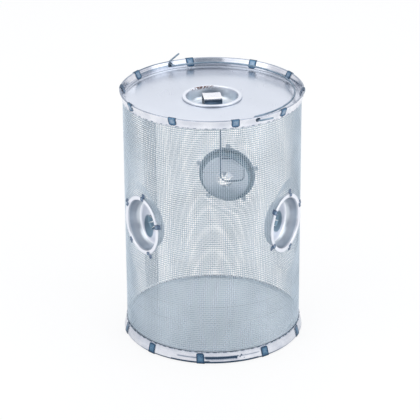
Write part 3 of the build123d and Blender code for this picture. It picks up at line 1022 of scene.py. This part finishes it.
shadows = {"left": ((-8.5, -8), (9, 13)), "right": ((7, -4), (10, 12)), "rear": ((0, -19), (24, 9))}
for number, (side, azimuth) in enumerate(funnel_azimuths.items()):
    line = denser(dish_line(star_apothem), 1.0 * mm)
    shapes = [spun(line, 240, star_edge)]
    # The rear funnel's back wall gets a lower value, which paints it dark as painted shade.
    tones = [np.tile(dish_tone(line, 0.70 if side == "rear" else 0.86), 240)]
    for n in range(tongue_count):
        uneven = radians(5.0) * sin(3.7 * n + 2.1 * number)
        shapes.append(tongue(2 * pi * n / tongue_count, tongue_bend + uneven))
        half = len(shapes[-1][0]) // 2
        tones += [np.full(half, 1.0), np.full(half, 0.06)]
    points, faces = joined(shapes)
    name = "funnel_" + side
    thing = piece(name, placed(points, funnel_frame(azimuth)), faces, pressed_steel, "cage", name)
    carry(thing, "away", shade(points, np.concatenate(tones), *shadows[side], side != "rear"))
print("funnels", len(funnel_azimuths), "tongues", tongue_count * len(funnel_azimuths))

# %% [markdown]
# ## The clips of the funnels
# Five small strips hold each flange on the weave. Each steps down from the flange and
# bends back where the flat land ends, so that its foot follows the round wall.

# %% Funnel clips
funnel_clips = {
    "left": (16, 85, 150, 229, 296),
    "right": (20, 74, 139, 212, 286),
    "rear": (20, 92, 164, 236, 308),
}
small_half = 2.75 * mm
small_foot = 5.0 * mm
small_hold = 3.4 * mm
wall_outside = wall_radius + weave_half


def funnel_clip(angle):
    """One clip in the funnel's own frame."""
    turn = radians(angle)
    half_sheet = clip_sheet / 2
    end = dish_flange + small_foot
    step = dish_flange + touch_gap + half_sheet
    crown = dish_crown + touch_gap + half_sheet
    lands = sqrt(wall_outside**2 - funnel_seat**2)
    knee = (lands + small_half * abs(sin(turn))) / max(abs(cos(turn)), 0.1)
    knee = max(knee, step + 2 * clip_sheet)
    near = end * abs(cos(turn)) - small_half * abs(sin(turn))
    drop = min(0.0, sqrt(wall_outside**2 - near**2) - funnel_seat + 0.25 * mm)
    low = 0.1 * mm + half_sheet
    corners = [(dish_flange - small_hold, crown, 0), (step, crown, 0.45 * mm), (step, low, 0.45 * mm)]
    if knee < end - clip_sheet:
        corners.append((knee, low, 0.8 * mm))
    corners.append((end, low + drop, 0))
    line = denser(rounded(corners, closed=False, steps=4), 0.5 * mm)
    across, along = strip_points(line, small_half, 0.9 * mm, columns=7)
    line = np.array(line)
    out, rise = np.broadcast_to(line[:, :1], across.shape), np.broadcast_to(line[:, 1:], across.shape)
    grid = np.stack([out * cos(turn) - across * sin(turn), out * sin(turn) + across * cos(turn), rise], 2)
    # Temper colour in the clip's middle, darkening to its edges, where it is also painted shade.
    temper_and_edge_shade = np.clip(np.hypot(across / small_half, (along[:, None] - 0.45) * 2.2), 0, 1)
    return plate(grid, clip_sheet), [temper_and_edge_shade.ravel(), np.full(temper_and_edge_shade.size, -1.0)]


for side, azimuth in funnel_azimuths.items():
    shapes, temper_and_edge_shade = [], []
    for angle in funnel_clips[side]:
        shape, values = funnel_clip(angle)
        shapes.append(shape)
        temper_and_edge_shade += values
    points, faces = joined(shapes)
    name = "funnel_" + side + "_clips"
    points = placed(points, funnel_frame(azimuth))
    thing = piece(name, points, faces, small_clip_steel, "cage", name, sharp=50)
    carry(thing, "away", np.concatenate(temper_and_edge_shade))
print("funnel clips", sum(len(angles) for angles in funnel_clips.values()))

# %% [markdown]
# ## The hatch and its grip
# The hatch is the same dish without the star, lying in the hole of the top sheet. Its
# bowl is painted darker on its floor, as painted shade. Its flange has a broken line of
# rust at the rear left. Rust is an oxide, so it isn't a metal to the shader: the metallic
# share goes down to nought where the crust is. The grip is a bent strip on the hatch's
# floor, bright on top, with painted shade on its legs.

# %% Hatch
hatch_level = top_disc_level + 0.2 * mm
hatch_floor = hatch_level - dish_depth
# Painted shade: the bowl's floor is darker than its walls and flange.
bowl_tones = [(0.05, (0.58, 0.63, 0.68)), (0.10, (0.78, 0.83, 0.85)), (0.30, (0.82, 0.87, 0.89)),
              (0.52, (0.87, 0.90, 0.92)), (0.58, (0.84, 0.86, 0.885)), (0.68, (0.84, 0.86, 0.885))]


def rust_and_bowl_shade(tree, where, base):
    """Painted shade of the bowl's tones, then a brown crust round one place on the flange, broken up by
    noise, in a narrow ring.
    """
    # The bowl's painted shade goes on first.
    base = temper_and_painted_shade("away", bowl_tones, 0.02)(tree, where, base)
    apart = add(tree, "ShaderNodeVectorMath", operation="DISTANCE")
    apart.inputs[1].default_value = (-12.5 * mm, 26.8 * mm, hatch_level + dish_crown)
    tree.links.new(where, apart.inputs[0])
    uneven = maths(tree, "ADD", noise(tree, where, 620.0), 0.17)
    near = maths(tree, "MULTIPLY_ADD", apart.outputs["Value"], -1 / (60 * mm), uneven)
    amount = ramp(tree, near, [(0.52, none), (0.55, full)])
    flat = add(tree, "ShaderNodeVectorMath", operation="MULTIPLY")
    flat.inputs[1].default_value = (1.0, 1.0, 0.0)
    tree.links.new(where, flat.inputs[0])
    from_axis = add(tree, "ShaderNodeVectorMath", operation="LENGTH")
    tree.links.new(flat.outputs[0], from_axis.inputs[0])
    # A ramp has too few steps for tenths of a millimetre, so 25 to 35 mm becomes 0 to 1.
    band = maths(tree, "MULTIPLY_ADD", from_axis.outputs["Value"], 100.0, -2.5)
    rim_only = ramp(tree, band, [(0.38, none), (0.43, full), (0.54, full), (0.60, none)])
    crust = maths(tree, "MULTIPLY", amount, rim_only)
    shader = tree.nodes["Principled BSDF"]
    tree.links.new(maths(tree, "SUBTRACT", 1.0, crust), shader.inputs["Metallic"])
    shader.inputs["Specular IOR Level"].default_value = 0.1
    return blended(tree, crust, base, (0.10, 0.032, 0.025))


hatch_steel = steel("hatch_steel", (0.90, 0.91, 0.94), (0.82, 0.84, 0.88), (0.28, 0.40), cloud=40.0,
                    dents=0.1, tint=rust_and_bowl_shade)
line = denser(dish_line(0.02 * mm), 1.0 * mm)
points, faces = spun(line, 240)
points[:, 2] += hatch_level
thing = piece("hatch_dish", points, faces, hatch_steel, "hatch", "hatch_dish")
carry(thing, "away", np.tile(dish_tone(line), 240))

strap_sheet = 0.8 * mm
strap_half_width = 10.25 * mm
strap_half = 10.0 * mm
strap_foot = 5.0 * mm
strap_turn = radians(8.0)
low = touch_gap + strap_sheet / 2
high = dish_depth + dish_crown - strap_sheet / 2
leg = strap_half - strap_sheet / 2
corners = [(-strap_half - strap_foot, low, 0), (-leg, low, 1.2 * mm), (-leg, high, 1.4 * mm),
           (leg, high, 1.4 * mm), (leg, low, 1.2 * mm), (strap_half + strap_foot, low, 0)]
line = np.array(denser(rounded(corners, closed=False, steps=6), 1.0 * mm))
across, along = strip_points(line, strap_half_width, 1.0 * mm, columns=13)
run, rise = np.broadcast_to(line[:, :1], across.shape), np.broadcast_to(line[:, 1:], across.shape)
bow = 0.25 * mm * (1 - (across / strap_half_width) ** 2) * (rise > high - 1 * mm)
grid = np.stack([across * cos(strap_turn) - run * sin(strap_turn),
                 across * sin(strap_turn) + run * cos(strap_turn), hatch_floor + rise - bow], 2)
thing = piece("hatch_strap", *plate(grid, strap_sheet), strap_steel, "hatch", "hatch_strap", sharp=50)
# Painted shade: the grip's legs darken towards its foot, and its top and inner face stay bright.
outer_tone = ((rise - low) / (high - low)).ravel() ** 9
carry(thing, "away", np.concatenate([np.ones(len(outer_tone)), outer_tone]))
print("hatch floor at", round(hatch_floor / mm, 2), "mm")

# %% [markdown]
# ## Hook and bail
# Each is bent from one wire. A curve object with a bevel would do, but a mesh tube
# along straight runs and arcs keeps the bends as tight as on the real wire. The bail
# was bent by hand, so its half circle wanders by half a millimetre.

# %% Bent wire
def bent(corners, steps=8):
    """Points along a 3-D path of straight runs, with an arc of its own radius at each corner."""
    line = [Vector(corners[0][:3])]
    for n in range(1, len(corners) - 1):
        here, radius = Vector(corners[n][:3]), corners[n][3]
        before = (Vector(corners[n - 1][:3]) - here).normalized()
        after = (Vector(corners[n + 1][:3]) - here).normalized()
        half = before.angle(after) / 2
        reach = radius / tan(half)
        centre = here + (before + after).normalized() * (radius / sin(half))
        start, end = here + before * reach - centre, here + after * reach - centre
        for k in range(steps + 1):
            line.append(centre + start.slerp(end, k / steps) * radius)
    line.append(Vector(corners[-1][:3]))
    return np.array([tuple(p) for p in line])


def tube(path, radius, sides=16):
    """A round wire along a path, its ends closed by small domes."""
    path = np.asarray(path, float)
    along = np.gradient(path, axis=0)
    along /= np.linalg.norm(along, axis=1)[:, None]
    side = np.cross(along[0], (0.3, 0.2, 1.0))
    rings = []
    around = np.arange(sides) * 2 * pi / sides
    for centre, way in zip(path, along):
        side = side - way * (side @ way)
        side /= np.linalg.norm(side)
        other = np.cross(way, side)
        rings.append(centre + radius * (np.cos(around)[:, None] * side + np.sin(around)[:, None] * other))
    for end, ring, way, sign in ((path[0], rings[0], along[0], -1), (path[-1], rings[-1], along[-1], 1)):
        dome = [end + way * sign * radius * sin(a) + (ring - end) * cos(a) for a in (0.5, 1.0, 1.4)]
        rings = dome[::-1] + rings if sign < 0 else rings + dome
    points = np.concatenate(rings)
    faces = []
    for n in range(len(rings) - 1):
        a, b = n * sides, (n + 1) * sides
        faces += [(a + k, a + (k + 1) % sides, b + (k + 1) % sides, b + k) for k in range(sides)]
    faces.append(tuple(reversed(range(sides))))
    faces.append(tuple((len(rings) - 1) * sides + k for k in range(sides)))
    return points, faces


hook_x = 9.2 * mm
hook_wire = 1.5 * mm
lay = hatch_floor + 0.3 * mm + hook_wire / 2
eye_low = hatch_floor - 90.0 * mm
eye_high = eye_low + 28.5 * mm
eye_side = hook_x + 26.6 * mm
hook_path = bent([
    (hook_x, -6.0 * mm, lay, 0),
    (hook_x, 0, lay, 1.6 * mm),
    (hook_x, 0, eye_low, 8.0 * mm),
    (eye_side, 0, eye_low + 1.6 * mm, 5.5 * mm),
    (eye_side, 0, eye_high - 10.5 * mm, 5.5 * mm),
    (hook_x + 14.5 * mm, 0, eye_high, 9.0 * mm),
    (hook_x + hook_wire + 0.1 * mm, 0, eye_high, 0),
])
piece("bait_hook", *tube(hook_path, hook_wire / 2), drawn_wire, "hook", "bait_hook")

# %% Bail
bail_wire_radius = 1.0 * mm
bail_level = top_edge - 3.4 * mm
bail_turn = radians(28.8)
bail_radius = 93.0 * mm
bail_outside = 106.2 * mm
bail_tail = 16.5 * mm
front_way = Vector((sin(bail_turn), -cos(bail_turn), 0))
side_way = Vector((cos(bail_turn), sin(bail_turn), 0))
centre = Vector((0, 0, bail_level))
tail_rise = radians(31.0)
rear_tail = side_way * cos(tail_rise) + Vector((0, 0, sin(tail_rise)))
front_end = bent([(*(centre + front_way * bail_outside + side_way * bail_tail), 0),
                  (*(centre + front_way * bail_outside), 2.2 * mm),
                  (*(centre + front_way * (bail_radius + 3 * mm)), 0)])
rear_end = bent([(*(centre - front_way * (bail_radius + 3 * mm)), 0),
                 (*(centre - front_way * bail_outside), 2.2 * mm),
                 (*(centre - front_way * bail_outside + rear_tail * bail_tail), 0)])
bow = []
bow_steps = 96
end_turn = 1.6 * asin(3.0 / 96.0)
for n in range(bow_steps + 1):
    a = end_turn + (pi - 2 * end_turn) * n / bow_steps
    swell = sin(a) ** 2
    radius = bail_radius + swell * (0.35 * sin(5 * a) + 0.25 * sin(9 * a + 1)) * mm
    dip = 0.4 * swell * sin(3 * a + 0.5) * mm
    bow.append(centre + (front_way * cos(a) + side_way * sin(a)) * radius + Vector((0, 0, dip)))


def joint_arc(start, corner_point, end, steps=8):
    """A smooth bend between two points, drawn towards a corner."""
    return [start * (1 - t) ** 2 + corner_point * 2 * t * (1 - t) + end * t**2
            for t in np.linspace(0, 1, steps)[1:-1]]


front_stop = centre + front_way * (bail_radius + 1.2 * mm)
rear_stop = centre - front_way * (bail_radius + 1.2 * mm)
front_pin, rear_pin = Vector(front_end[-1]), Vector(rear_end[0])
bail_path = [Vector(p) for p in front_end]
bail_path += joint_arc(front_pin, front_stop - front_way * 1.0 * mm, bow[0])
bail_path += bow
bail_path += joint_arc(bow[-1], rear_stop + front_way * 1.0 * mm, rear_pin)
bail_path += [Vector(p) for p in rear_end]
bail_shape = tube([tuple(p) for p in bail_path], bail_wire_radius)
piece("bail_handle", *bail_shape, bail_wire, "bail", "bail_handle")
print("bail radius", round(bail_radius / mm, 1), "mm")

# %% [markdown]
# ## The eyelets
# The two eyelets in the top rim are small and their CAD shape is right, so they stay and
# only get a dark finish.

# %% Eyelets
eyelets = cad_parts["bail_eyelets"]
eyelets.data.materials.clear()
eyelets.data.materials.append(dark_steel)
print("eyelets", len(eyelets.data.polygons), "faces")

# %% Finish
print("pieces", len(made), "faces", sum(made.values()))
